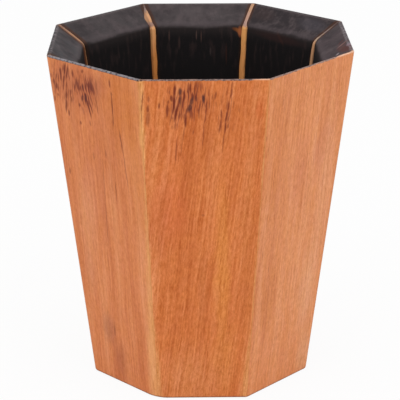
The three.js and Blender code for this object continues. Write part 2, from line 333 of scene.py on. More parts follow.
# Marks on the char: across and up of the top, the same of the bottom, half the width, colour and strength
CHAR_MARKS = {
    3: (
        (-7.0, 90.6, -14.0, 92.0, 0.9, "56332f", 0.9), (-5.0, 91.6, -9.0, 90.6, 0.7, "5c403c", 0.6),
        (-4.8, 91.9, -6.1, 90.2, 0.28, "946862", 0.9), (-2.3, 91.6, -4.1, 90.4, 0.28, "5e302c", 0.8),
        (-7.8, 92.0, -9.6, 92.0, 0.4, "967a86", 0.6), (-10.4, 90.0, -11.4, 89.8, 0.3, "a89ca0", 0.7),
        (-10.9, 89.3, -11.3, 88.5, 0.28, "5a2e2a", 0.7),
    ),
    4: (
        (-4.0, 90.6, -13.0, 89.8, 1.4, "58535a", 0.3), (14.0, 90.7, 6.0, 90.0, 1.4, "3c2f2e", 0.5),
        (8.0, 86.0, -8.0, 85.4, 1.2, "3a2422", 0.45), (0.9, 87.3, -1.7, 84.3, 0.5, "4a2c24", 0.3),
    ),
    5: (
        (-10.0, 86.4, -12.5, 85.6, 0.55, "824b28", 0.75), (-10.9, 86.3, -12.3, 84.8, 0.5, "96582f", 0.7),
        (-12.0, 86.7, -12.2, 84.1, 0.75, "af643c", 0.85), (-8.0, 81.7, -8.0, 76.5, 0.25, "4c2a20", 0.35),
        (8.6, 85.8, 8.6, 83.0, 0.28, "4e3a36", 0.6), (0.7, 85.8, 0.7, 83.4, 0.22, "5e4842", 0.6),
        (-0.7, 85.6, -0.7, 82.8, 0.22, "543e38", 0.6), (-3.4, 81.0, -3.4, 78.8, 0.28, "463a38", 0.5),
        (5.7, 84.2, 5.7, 80.8, 0.2, "42322e", 0.5),
        (0.0, 91.0, 0.0, 89.0, 7.0, "6a6061", 0.15), (11.0, 91.4, 11.0, 88.6, 4.0, "2e292b", 0.2),
        (-10.0, 91.4, -10.0, 88.6, 4.0, "2e292b", 0.2),
    ),
}

# Each seam's squeeze-out at heights from the rim down: half its width and its shift sideways, in millimetres
PLAIN_SEAM = ((92, 0.2, 0.0), (90, 0.4, 0.0), (87, 0.6, 0.0), (60, 0.7, 0.0), (13, 0.6, 0.0))
SEAMS = {
    1: PLAIN_SEAM,
    2: ((92, 0.2, 0.0), (90, 0.3, 0.0), (87, 0.5, 0.0), (60, 0.6, 0.0), (13, 0.6, 0.0)),
    3: ((92, 0.2, 0.0), (90, 0.3, 0.0), (87.6, 0.4, 0.0), (85.6, 0.8, 0.0), (82, 0.85, 0.0), (76, 0.7, 0.0),
        (60, 0.7, 0.0), (13, 0.6, 0.0)),
    4: ((92, 0.5, 0.0), (90, 0.5, 0.0), (88, 0.45, 0.0), (86.6, 0.8, -0.2), (60, 0.9, 0.0), (13, 0.7, 0.0)),
    5: ((92, 0.05, 0.15), (91.3, 0.2, 0.35), (90.3, 0.7, 0.6), (89.1, 1.1, 0.95), (88.0, 0.85, 0.75),
        (87.2, 0.75, 0.4), (86.4, 0.9, 0.4), (60, 0.8, 0.35), (13, 0.7, 0.0)),
    6: ((92, 0.5, 0.0), (90, 0.7, 0.4), (87, 0.8, 0.85), (84, 0.85, 0.85), (60, 0.8, 0.6), (13, 0.6, 0.0)),
    7: PLAIN_SEAM,
    8: PLAIN_SEAM,
}

# Each seam's glue: its tones at the lip, on the bevel, at the bevel's foot, high on the inside face and low
# on it, how far its clean core reaches from the middle in millimetres, and how strong the painted shade along
# its borders is
GLUES = {
    1: ("bf9986", "cf9e76", "a88373", "f0ab6e", "dc8948", 0.4, 0.5),
    2: ("bf9986", "c4946e", "a07a68", "f0ab6e", "dc8948", 0.4, 0.5),
    3: ("4c3836", "7c6660", "b89c84", "daa378", "daa378", 0.3, 0.6),
    4: ("b88a68", "b58a74", "a88478", "fbb166", "f0a25e", 0.5, 0.5),
    5: ("806860", "d69c6c", "9a7666", "f0ab6e", "e08c48", 0.5, 0.5),
    6: ("8a5c44", "ae7850", "ac784e", "c48a5c", "c48a5c", 0.4, 1.0),
    7: ("bf9986", "c99870", "a88373", "f0ab6e", "dc8948", 0.4, 0.5),
    8: ("bf9986", "cf9e76", "a88373", "f0ab6e", "dc8948", 0.4, 0.5),
}


class TumblerShape(bpy.types.PropertyGroup):
    """Sizes of the rounded edges and of the glue"""

    arris: FloatProperty(
        name="Arris", description="Rounding of the outside corners, along each face",
        default=0.7 * MM, min=0.0, unit="LENGTH")
    worn_arris_top: FloatProperty(
        name="Worn arris, top", description="Rounding of the most worn outside corner, at the rim",
        default=0.5 * MM, min=0.0, unit="LENGTH")
    worn_arris_foot: FloatProperty(
        name="Worn arris, foot", description="Rounding of the most worn outside corner, at the foot",
        default=3.2 * MM, min=0.0, unit="LENGTH")
    bevel_round: FloatProperty(
        name="Bevel edge", description="Rounding where the rim's bevel meets the inside face",
        default=0.9 * MM, min=0.0, unit="LENGTH")
    lip_round: FloatProperty(
        name="Lip", description="Rounding of both edges of the lip",
        default=0.2 * MM, min=0.0, unit="LENGTH")
    foot_round: FloatProperty(
        name="Foot", description="Rounding round the outside of the foot",
        default=EASE[0], min=0.0, unit="LENGTH")
    glue_film: FloatProperty(
        name="Glue film", description="Thickness of the cured glue in a mitre joint",
        default=0.1 * MM, min=0.0, unit="LENGTH")
    bead_rise: FloatProperty(
        name="Bead rise", description="How far the squeeze-out bulges, over half its width",
        default=0.28, min=0.0, subtype="FACTOR")
    panel_round: FloatProperty(
        name="Base panel", description="Rounding of the base panel's edges",
        default=0.3 * MM, min=0.0, unit="LENGTH")
    seal_bulge: FloatProperty(
        name="Seal bulge", description="How far the seal's side bulges, over its height",
        default=0.12, min=0.0, subtype="FACTOR")
    seal_wave: FloatProperty(
        name="Seal wave", description="How uneven the seal's side is",
        default=0.15 * MM, min=0.0, unit="LENGTH")


class TumblerColours(bpy.types.PropertyGroup):
    """Colours of the char, the glue and the stage"""

    char_black: FloatVectorProperty(
        name="Deep char", description="Char on the inside faces",
        default=linear("171415"), size=3, min=0.0, max=1.0, subtype="COLOR")
    ash: FloatVectorProperty(
        name="Ash", description="Pale worn char along the lip",
        default=linear("a8a2a6"), size=3, min=0.0, max=1.0, subtype="COLOR")
    glue: FloatVectorProperty(
        name="Glue", description="Cured glue",
        default=linear("d09a58"), size=3, min=0.0, max=1.0, subtype="COLOR")
    floor: FloatVectorProperty(
        name="Floor", description="The pale floor that the tumbler stands on",
        default=(0.9, 0.9, 0.9), size=3, min=0.0, max=1.0, subtype="COLOR")


def add_primitive(operator, **settings):
    """Adds a primitive with nothing else selected and returns its object."""
    bpy.ops.object.select_all(action="DESELECT")
    operator(**settings)
    bpy.ops.object.transform_apply(location=True, rotation=True, scale=True)
    return bpy.context.active_object


def take_up(thing):
    """Makes one object the only selected one, and the active one."""
    bpy.ops.object.select_all(action="DESELECT")
    thing.select_set(True)
    bpy.context.view_layer.objects.active = thing


def choose(thing, kind, test):
    """Selects, in edit mode, only the vertices, edges or faces that pass a test."""
    bpy.ops.mesh.select_mode(type=kind)
    bpy.ops.mesh.select_all(action="DESELECT")
    mesh = bmesh.from_edit_mesh(thing.data)
    for element in {"VERT": mesh.verts, "EDGE": mesh.edges, "FACE": mesh.faces}[kind]:
        if test(element):
            element.select_set(True)
    mesh.select_flush_mode()
    bmesh.update_edit_mesh(thing.data)


def pull(step):
    """Extrudes the selection by a step."""
    bpy.ops.mesh.extrude_region_move(TRANSFORM_OT_translate={"value": step})


def round_off(size, rows):
    """Rounds the selected edges over with rows of faces."""
    bpy.ops.mesh.bevel(offset=size, segments=rows, affect="EDGES")


def face_outwards():
    """Turns every face of the mesh in edit mode outwards."""
    bpy.ops.mesh.select_all(action="SELECT")
    bpy.ops.mesh.normals_make_consistent(inside=False)


def widen(factor):
    """Scales the selection level, about the axis."""
    bpy.ops.transform.resize(value=(factor, factor, 1), center_override=(0, 0, 0))


def middle(edge):
    """The point halfway along an edge."""
    return (edge.verts[0].co + edge.verts[1].co) / 2


def heading(place):
    """Angle round the axis, from -Y towards +X."""
    return math.atan2(place.x, -place.y) % (2 * math.pi)


def is_arris(edge, angle):
    """Whether an edge is the long outside corner at an angle round the axis."""
    spot = middle(edge)
    upright = abs(edge.verts[0].co.z - edge.verts[1].co.z) > HEIGHT / 2
    off = abs((heading(spot) - angle + math.pi) % (2 * math.pi) - math.pi)
    return upright and off < STEP / 4 and spot.xy.length > (outside(spot.z) - WALL / 2) * CORNER


def is_lip_edge(edge):
    """Whether an edge is on either side of the lip."""
    level = [abs(face.normal.z) > 0.99 for face in edge.link_faces]
    return middle(edge).z > HEIGHT - TIGHT and any(level) and not all(level)


def is_foot_edge(edge):
    """Whether an edge runs round the outside of the foot."""
    level = [abs(face.normal.z) > 0.99 for face in edge.link_faces]
    spot = middle(edge)
    outer = spot.xy.length > outside(0) - WALL / 2
    return spot.z < TIGHT and outer and any(level) and not all(level)


def drift(number, z):
    """How far a seam has leaned at a height."""
    x, y = DRIFT.get(number, (0.0, 0.0))
    return Vector((x, y, 0)) * MM * z / HEIGHT


def ways(angle):
    """The directions across and inward on a board or seam at an angle round the axis."""
    return Vector((math.cos(angle), math.sin(angle), 0)), Vector((-math.sin(angle), math.cos(angle), 0))


def lean_seam(cup, number):
    """Leans one corner of the plain cup, level by level."""
    angle = (number - 0.5) * STEP
    for z in sorted({round(vertex.co.z, 6) for vertex in bmesh.from_edit_mesh(cup.data).verts}):
        choose(cup, "VERT", lambda v: abs(v.co.z - z) < TIGHT and abs(heading(v.co) - angle) < STEP / 4)
        bpy.ops.transform.translate(value=drift(number, z))


def wear_arris(cup, number, z, size, new_size):
    """Makes one end of a rounded outside corner wider or narrower, about the sharp corner that it had."""
    angle = (number - 0.5) * STEP
    reach = outside(z) * CORNER
    corner = drift(number, z) - ways(angle)[1] * reach + Vector((0, 0, z))
    grow = new_size / size
    choose(cup, "VERT", lambda v: (v.co - corner).length < size * 1.1)
    bpy.ops.transform.resize(value=(grow, grow, 1), center_override=corner)


def model_cup(shape):
    """The whole cup as one ring of wood, from which the staves and the glue films are cut."""
    cup = add_primitive(
        bpy.ops.mesh.primitive_cylinder_add, vertices=STAVES, radius=RIM[2] * CORNER,
        depth=HEIGHT, location=(0, 0, HEIGHT / 2), rotation=(0, 0, STEP / 2))
    bpy.ops.object.mode_set(mode="EDIT")
    choose(cup, "VERT", lambda v: v.co.z < HEIGHT / 2)
    widen(outside(0) / RIM[2])
    choose(cup, "FACE", lambda f: f.normal.z > 0.9)
    flat, level = RIM[2], HEIGHT
    inside_steps = (
        (RIM[1], HEIGHT),
        (BEVEL_FOOT[1], BEVEL_FOOT[0]),
        (GROOVE_HIGH[1], GROOVE_HIGH[0]),
        (GROOVE_HIGH[2], GROOVE_HIGH[0]),
        (GROOVE_LOW[2], GROOVE_LOW[0]),
        (GROOVE_LOW[1], GROOVE_LOW[0]),
        (FOOT[1], 0),
    )
    for next_flat, next_level in inside_steps:
        pull((0, 0, next_level - level))
        widen(next_flat / flat)
        flat, level = next_flat, next_level
    bpy.ops.mesh.delete(type="ONLY_FACE")
    choose(cup, "FACE", lambda f: len(f.verts) == STAVES)
    bpy.ops.mesh.delete(type="ONLY_FACE")
    choose(cup, "EDGE", lambda e: e.is_boundary)
    bpy.ops.mesh.bridge_edge_loops()
    face_outwards()
    for number in DRIFT:
        lean_seam(cup, number)
    for number in range(1, STAVES + 1):
        angle = (number - 0.5) * STEP
        choose(cup, "EDGE", lambda e: is_arris(e, angle))
        round_off(shape.arris, 5)
    wear_arris(cup, WORN_SEAM, HEIGHT, shape.arris, shape.worn_arris_top)
    wear_arris(cup, WORN_SEAM, 0, shape.arris, shape.worn_arris_foot)
    choose(cup, "EDGE", lambda e: abs(middle(e).z - BEVEL_FOOT[0]) < TIGHT)
    round_off(shape.bevel_round, 5)
    choose(cup, "EDGE", is_lip_edge)
    round_off(shape.lip_round, 3)
    choose(cup, "EDGE", is_foot_edge)
    round_off(shape.foot_round, 4)
    bpy.ops.object.mode_set(mode="OBJECT")
    return cup


def before(number):
    """The seam on a stave's other edge."""
    return number - 1 or STAVES


def cut_out(cup, name, planes):
    """A copy of the cup, cut back to what lies behind every plane (a point and an outward normal)."""
    take_up(cup)
    bpy.ops.object.duplicate()
    piece = bpy.context.active_object
    piece.name = piece.data.name = name
    bpy.ops.object.mode_set(mode="EDIT")
    for point, normal in planes:
        bpy.ops.mesh.select_all(action="SELECT")
        bpy.ops.mesh.bisect(
            plane_co=point, plane_no=normal, use_fill=True, clear_outer=True, threshold=TIGHT / 10)
    bpy.ops.object.mode_set(mode="OBJECT")
    return piece


def mitre(number, shift):
    """The plane of a seam, moved sideways, facing the way the count runs: a point and a normal."""
    sideways = ways((number - 0.5) * STEP)[0]
    tilt = drift(number, HEIGHT).dot(sideways) / HEIGHT
    return sideways * shift, (sideways - Vector((0, 0, tilt))).normalized()


def smooth_over(piece, angle=30):
    """Smooth shading that leaves the broad flats flat."""
    take_up(piece)
    bpy.ops.object.shade_smooth_by_angle(angle=math.radians(angle))
    bpy.ops.object.modifier_add(type="WEIGHTED_NORMAL")
    piece.modifiers[-1].keep_sharp = True
    bpy.ops.object.modifier_apply(modifier=piece.modifiers[-1].name)


def hand_over(piece, node, material):
    """Gives a finished piece its material and puts it in its CAD node's place."""
    piece.data.materials.clear()
    piece.data.materials.append(material)
    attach(piece, "root")
    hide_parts(node)


def corner_route():
    """Points of an inside corner from the lip down to the base: flat distance and height."""
    foot_z = levels("base_seal")[-1][0]
    top = Vector((RIM[1], HEIGHT))
    kink = Vector((BEVEL_FOOT[1], BEVEL_FOOT[0]))
    foot = Vector((outside(foot_z) - WALL, foot_z))
    above = kink + (top - kink).normalized() * BEND_REACH
    below = kink + (foot - kink).normalized() * BEND_REACH
    points = [top.lerp(above, i / BEVEL_STEPS) for i in range(BEVEL_STEPS)]
    for i in range(BEND_STEPS):
        share = i / BEND_STEPS
        points.append(above.lerp(kink, share).lerp(kink.lerp(below, share), share))
    return points + [below.lerp(foot, i / WALL_STEPS) for i in range(WALL_STEPS + 1)]


def along(table, z):
    """Values at a height, from values given at heights that run downwards."""
    for (high, *upper), (low, *lower) in zip(table, table[1:]):
        if z >= low:
            share = min(1, max(0, (z - low) / (high - low)))
            smooth = share * share * (3 - 2 * share)
            return [b + (a - b) * smooth for a, b in zip(upper, lower)]
    return table[-1][1:]


def model_bead(number, shape):
    """One seam's squeeze-out: a flattened rod down the inside corner at -Y, then turned to its place."""
    lean_in = math.tan(STEP / 2)
    angle = (number - 0.5) * STEP
    sideways, inward = ways(angle)
    stations = []
    for flat, z in corner_route():
        half, shift = [size * MM for size in along(SEAMS[number], z / MM)]
        shift += BEAD_SWAY * half * math.sin(z / MM * 0.9 + number * 2.1)
        half *= 1 + BEAD_SWELL * math.sin(z / MM * 0.61 + number * 4.7)
        leaned = drift(number, z)
        reach = flat * CORNER - lean_in * (half + 0.3 * abs(shift)) - leaned.dot(inward)
        stations.append((shift + leaned.dot(sideways), -reach, z, half))
    x, y, z, half = stations[0]
    bead = add_primitive(
        bpy.ops.mesh.primitive_circle_add, vertices=BEAD_SIDES, radius=half, fill_type="NGON",
        location=(x, y, z))
    bpy.ops.object.mode_set(mode="EDIT")
    bpy.ops.mesh.select_all(action="SELECT")
    bpy.ops.transform.resize(value=(1, shape.bead_rise, 1), center_override=(x, y, z))
    for next_x, next_y, next_z, next_half in stations[1:]:
        pull((next_x - x, next_y - y, next_z - z))
        grow = next_half / half
        bpy.ops.transform.resize(value=(grow, grow, 1), center_override=(next_x, next_y, next_z))
        x, y, z, half = next_x, next_y, next_z, next_half
    face_outwards()
    bpy.ops.object.mode_set(mode="OBJECT")
    bead.rotation_euler.z = angle
    bpy.ops.object.transform_apply(location=True, rotation=True, scale=True)
    return bead


def model_panel(shape):
    """The base panel: an octagonal board with rounded edges, which widens upwards as the staves do."""
    (low, _, low_flat), (high, _, high_flat) = levels("base_panel")
    panel = add_primitive(
        bpy.ops.mesh.primitive_cylinder_add, vertices=STAVES, radius=low_flat * CORNER,
        depth=high - low, location=(0, 0, (low + high) / 2), rotation=(0, 0, STEP / 2))
    panel.name = panel.data.name = "floor_board"
    bpy.ops.object.mode_set(mode="EDIT")
    choose(panel, "VERT", lambda v: v.co.z > (low + high) / 2)
    widen(high_flat / low_flat)
    bpy.ops.mesh.select_all(action="SELECT")
    round_off(shape.panel_round, 2)
    bpy.ops.object.mode_set(mode="OBJECT")
    smooth_over(panel)
    return panel


def model_seal(shape):
    """The glue round the base panel: a rounded, slightly uneven bead in the corner of panel and staves."""
    (low, _, low_flat), (high, _, high_flat) = levels("base_seal")
    leg = high - low
    seal = add_primitive(
        bpy.ops.mesh.primitive_circle_add, vertices=STAVES, radius=low_flat * CORNER,
        location=(0, 0, low), rotation=(0, 0, STEP / 2))
    seal.name = seal.data.name = "seal_bead"
    bpy.ops.object.mode_set(mode="EDIT")
    bpy.ops.mesh.select_all(action="SELECT")
    bpy.ops.mesh.subdivide(number_cuts=SEAL_CUTS)
    flat, level = low_flat, low
    for i in range(SEAL_ROWS + 1):
        share = i / SEAL_ROWS
        bulge = shape.seal_bulge * leg * math.sin(math.pi * share)
        next_flat = low_flat - leg + (high_flat - low_flat + leg) * share - bulge
        next_level = low + leg * share + bulge
        pull((0, 0, next_level - level))
        widen(next_flat / flat)
        flat, level = next_flat, next_level
    choose(seal, "EDGE", lambda e: e.is_boundary)
    bpy.ops.mesh.bridge_edge_loops()
    face_outwards()
    choose(seal, "VERT", lambda v: low + TIGHT < v.co.z < high - TIGHT)
    bpy.ops.transform.vertex_random(offset=shape.seal_wave, seed=SEAL_SEED)
    bpy.ops.object.mode_set(mode="OBJECT")
    smooth_over(seal, 60)
    return seal


class Value:
    """A shader socket that takes part in Python's arithmetic."""

    def __init__(self, finish, socket):
        self.finish = finish
        self.socket = socket

    def math(self, operation, *values):
        return self.finish.node("ShaderNodeMath", {"operation": operation}, dict(enumerate(values)))

    def __add__(self, other):
        return self.math("ADD", self, other)

    def __radd__(self, other):
        return self.math("ADD", other, self)

    def __sub__(self, other):
        return self.math("SUBTRACT", self, other)

    def __rsub__(self, other):
        return self.math("SUBTRACT", other, self)

    def __mul__(self, other):
        return self.math("MULTIPLY", self, other)

    def __rmul__(self, other):
        return self.math("MULTIPLY", other, self)

    def __abs__(self):
        return self.math("ABSOLUTE", self)

    def __pow__(self, other):
        return self.math("POWER", self, other)

    def most(self, other):
        return self.math("MAXIMUM", self, other)


def shade(code, step):
    """A screen colour with each channel moved by a step, as linear red, green and blue."""
    moved = [min(255, max(0, int(code[i:i + 2], 16) + step)) for i in (0, 2, 4)]
    return linear("%02x%02x%02x" % tuple(moved))


def set_stops(ramp, stops):
    """Sets a colour ramp's stops: pairs of a place from 0 to 1 and a colour code."""
    for _ in stops[2:]:
        ramp.elements.new(0.5)
    for element, (spot, code) in zip(ramp.elements, stops):
        element.position = spot
        element.color = (*linear(code), 1.0)


class Finish:
    """A node tree under construction."""

    def __init__(self, tree):
        self.tree = tree
        tree.nodes.clear()

    def node(self, kind, settings, sockets, output=0):
        """Adds a node: its settings first, then the values or links of its sockets."""
        node = self.tree.nodes.new(kind)
        for name, value in settings.items():
            if name == "stops":
                set_stops(node.color_ramp, value)
            else:
                setattr(node, name, value)
        for place, value in sockets.items():
            if isinstance(value, Value):
                self.tree.links.new(value.socket, node.inputs[place])
            else:
                node.inputs[place].default_value = value
        return Value(self, node.outputs[output]) if node.outputs else None

    def rise(self, value, low, high):
        """0 below low, 1 above high, and smooth between."""
        sockets = {"Value": value, "From Min": low, "From Max": high}
        return self.node("ShaderNodeMapRange", {"interpolation_type": "SMOOTHSTEP"}, sockets)

    def band(self, value, start, full, fade, gone):
        """1 between two levels of a value and 0 outside them, with smooth ends."""
        return self.rise(value, start, full) * (1.0 - self.rise(value, fade, gone))

    def slide(self, value, low, high, at_low, at_high):
        """A straight run from one amount at low to another at high, level outside."""
        sockets = {
            "Value": value, "From Min": low, "From Max": high, "To Min": at_low, "To Max": at_high}
        return self.node("ShaderNodeMapRange", {}, sockets)

    def noise(self, x, y, z, detail=2.0, roughness=0.5):
        """Soft noise from 0 to 1 at a place whose three parts are already scaled."""
        spot = self.node("ShaderNodeCombineXYZ", {}, {0: x, 1: y, 2: z})
        sockets = {"Vector": spot, "Scale": 1.0, "Detail": detail, "Roughness": roughness}
        return self.node("ShaderNodeTexNoise", {}, sockets)

    def blend(self, first, second, amount, how="MIX"):
        """Mixes two colours, each a link, a colour code or linear red, green and blue."""
        sockets = {0: amount}
        for place, colour in ((6, first), (7, second)):
            if isinstance(colour, str):
                colour = linear(colour)
            sockets[place] = colour if isinstance(colour, Value) else (*colour, 1.0)
        return self.node("ShaderNodeMix", {"data_type": "RGBA", "blend_type": how}, sockets, 2)

    def tones(self, value, stops):
        """Colours along a value: pairs of a place from 0 to 1 and a colour code."""
        return self.node("ShaderNodeValToRGB", {"stops": stops}, {0: value})

    def spot(self, flat, across, up, half_width, half_height):
        """1 in the middle of an upright oval and 0 outside it."""
        sockets = {
            "Vector": flat, "Location": (across, up, 0), "Scale": (half_width, half_height, 1)}
        return self.oval(sockets, STAIN_EDGE)

    def dash(self, flat, left, top, right, bottom, half_width):
        """1 along the middle of a slim oval from a top point to a bottom point, and 0 outside it."""
        run = Vector((left - right, top - bottom))
        sockets = {
            "Vector": flat, "Location": ((left + right) / 2, (top + bottom) / 2, 0),
            "Rotation": (0, 0, -math.atan2(run.x, run.y)),
            "Scale": (half_width * MARK_WIDTH, run.length * MARK_LENGTH, 1)}
        return self.oval(sockets, MARK_EDGE)

    def oval(self, sockets, edge):
        """1 in the middle of a mapped circle and 0 outside it; a larger edge makes its border harder."""
        moved = self.node("ShaderNodeMapping", {"vector_type": "TEXTURE"}, sockets)
        reach = self.node("ShaderNodeVectorMath", {"operation": "LENGTH"}, {0: moved}, 1)
        settings = {"operation": "MULTIPLY_ADD", "use_clamp": True}
        return self.node("ShaderNodeMath", settings, {0: reach, 1: -edge, 2: edge})

    def flat(self, across, up):
        """A place on a board's face."""
        return self.node("ShaderNodeCombineXYZ", {}, {0: across, 1: up})

    def place(self, angle=0.0):
        """Across, inward and up in millimetres, on a board that faces -Y when turned back by an angle."""
        spot = self.node("ShaderNodeTexCoord", {}, {}, "Object")
        sockets = {"Vector": spot, "Rotation": (0, 0, -angle), "Scale": (1 / MM,) * 3}
        turned = self.node("ShaderNodeMapping", {}, sockets)
        return [self.node("ShaderNodeSeparateXYZ", {}, {0: turned}, i) for i in range(3)]

    def surface(self, colour, roughness, height, depth, level=0.5):
        """Ends the tree in a plain opaque shader with a bump."""
        bump = self.node(
            "ShaderNodeBump", {}, {"Height": height, "Distance": depth, "Strength": 1.0})
        shader = self.node("ShaderNodeBsdfPrincipled", {}, {
            "Base Color": colour, "Roughness": roughness, "Normal": bump,
            "Specular IOR Level": level})
        self.node("ShaderNodeOutputMaterial", {}, {"Surface": shader})


def new_finish(name):
    """A new material and its empty node tree."""
    material = bpy.data.materials.new(name)
    material.use_nodes = True
    return Finish(material.node_tree), material


def stave_finish(number, colours):
    """Oiled wood outside with painted shade round the foot, rubbed char on the bevel and deep char inside."""
    rim, board = RIMS[number], BOARDS[number]
    f, material = new_finish(f"stave_{number}_wood")
    u, w, v = f.place((number - 1) * STEP)
    wander = (f.noise(u * 0.12, v * 0.035, board["seed"] + 7, 1.0) - 0.5) * 1.6
    grain = u - v * board["lean"] + wander
    figure = f.noise(grain * 0.22, v * 0.010, board["seed"], 3.0, 0.7)
    wood = f.tones(figure, ((0.34, board["dark"]), (0.5, board["body"]), (0.66, board["light"])))
    wood = stained(f, number, wood, u, w, v)
    lines = f.noise(grain * 1.9, v * 0.045, board["seed"] + 2, 1.0)
    speckle = f.noise(grain * 1.7, v * 0.55, board["seed"] + 3, 2.0, 0.85)
    pores = f.rise(f.noise(grain * 2.4, v * 0.16, board["seed"] + 4, 0.0), 0.64, 0.78)
    wood = fine_grain(f, board, wood, lines * 0.4 + speckle * 0.6 - pores * 0.1)
    golden = f.rise(f.noise(grain * 0.5, v * 0.2, board["seed"] + 6, 1.0), 0.35, 0.65)
    wood = f.blend(wood, (1.0, 1.0, 0.92), golden, "MULTIPLY")
    wood = marked(f, number, wood, u, v)

    u, w = upright(f, number, u, w, v)
    depth = w + outside(0) / MM + v * FLARE
    top, groove = HEIGHT / MM, GROOVE_LOW[0] / MM
    frayed = f.noise(u * 1.3, v * 1.3, board["seed"] + 5, 2.0) - 0.5
    # Painted shade: a dark brown line round the bottom edge, where the foot's rounding faces down and falls
    # in shade
    foot = 1.0 - f.rise(v + frayed * 0.5, 0.3, 0.8)
    wood = f.blend(wood, "7a4a34", foot * 0.7)
    over = f.rise(v + frayed * 0.5, top - rim["scorch"] - 0.1, top - rim["scorch"] + 0.1)
    start = f.slide(v, top - 12.0, top - 2.0, WALL / MM / 2, 0.45) + frayed * 0.3
    if rim["bare"]:
        low, high = rim["bare"]
        bare = f.band(u, low - 3.0, low + 2.0, high - 1.0, high + 1.0)
        over = over * (1.0 - bare)
        start = start + bare * (0.4 + frayed * 1.4)
        wavy = f.noise(u * 0.5, 0.0, board["seed"] + 31, 1.0) * 0.3
        pale = bare * f.rise(v + wavy, top - 0.1, top + 0.15)
        wood = f.blend(wood, "ecc0a4", pale * 0.75)
    charred = f.rise(depth + over - start, -0.1, 0.2) * f.rise(v, groove + 0.5, groove + 1.5)
    char = char_tones(f, number, colours, u, w, v, depth)
    colour = f.blend(wood, char, charred)
    f.surface(colour, 0.5 + charred * 0.25, lines + speckle * 0.5, 0.02 * MM, 0.12)
    return material


def upright(f, number, u, w, v):
    """Across and inward as they would be on a regular octagon, where a board's corners have leaned."""
    half = outside(HEIGHT) * math.tan(STEP / 2) / MM
    straight = []
    for way, value in zip(ways((number - 1) * STEP), (u, w)):
        left, right = [drift(seam, HEIGHT).dot(way) / HEIGHT for seam in (before(number), number)]
        if left or right:
            value = value - f.slide(u, -half, half, left, right) * v
        straight.append(value)
    return straight


def fine_grain(f, board, wood, grain):
    """Fine dark and light grain, each an even step on screen from the wood under it."""
    for step, strongest in ((DARK_GRAIN, 0.3), (LIGHT_GRAIN, 0.7)):
        tones = zip(shade(board["body"], step), linear(board["body"]))
        change = [new / old for new, old in tones]
        share = f.slide(grain, 0.5, strongest, 0.0, 1.0) * board["fine"]
        wood = f.blend(wood, change, share, "MULTIPLY")
    return wood


def ragged_flat(f, seed, u, v):
    """A place on a board's face, shifted unevenly, which frays the borders of what is laid there."""
    ragged = (f.noise(u * 0.5, v * 0.12, seed + 11, 2.0) - 0.5) * 2.0
    return f.flat(u + ragged, v + ragged * 2.0)


def stained(f, number, wood, u, w, v):
    """Lays a board's broad stains and edge strips over its tones."""
    seed = BOARDS[number]["seed"]
    flat = ragged_flat(f, seed, u, v)
    for *oval, code, strength in STAINS[number]:
        wood = f.blend(wood, code, f.spot(flat, *oval) * strength)
    fuzzy = f.noise(u * 1.6, v * 0.08, seed + 12, 2.0, 0.7) - 0.5
    straight = upright(f, number, u, w, v)[0]
    for side, upper, lower, code, strength in STRIPS.get(number, ()):
        edge = (outside(0) / MM + v * FLARE) * math.tan(STEP / 2) - straight * side
        away = f.slide(v, lower[0], upper[0], lower[1], upper[1])
        half = f.slide(v, lower[0], upper[0], lower[2], upper[2])
        strip = f.rise(half - abs(edge - away) + fuzzy * 2.2, -0.8, 0.8)
        wood = f.blend(wood, code, strip * strength)
    return wood


def marked(f, number, wood, u, v):
    """Lays a board's clouds of dark streaks and its single pore marks over its grain."""
    seed = BOARDS[number]["seed"]
    flat = ragged_flat(f, seed, u, v)
    for *oval, strength, lean in CLUSTERS[number]:
        cloud = f.spot(flat, *oval) * strength
        streaks = f.noise((u - v * lean) * 2.0, v * 0.26, seed + 13, 1.0)
        wood = f.blend(wood, "964a36", cloud * 0.27)
        streaked = f.rise(streaks + cloud * 0.08, 0.55, 0.66) * cloud ** 0.6
        wood = f.blend(wood, "6c2c22", streaked * 0.85)
    ripple = (f.noise(u * 0.9, v * 0.5, seed + 17, 1.0) - 0.5) * 0.4
    rippled = f.flat(u + ripple, v + ripple)
    for code, marks in MARKS[number].items():
        dashes = (f.dash(rippled, *dash) * strength for *dash, strength in marks)
        wood = f.blend(wood, code, reduce(Value.most, dashes))
    return wood


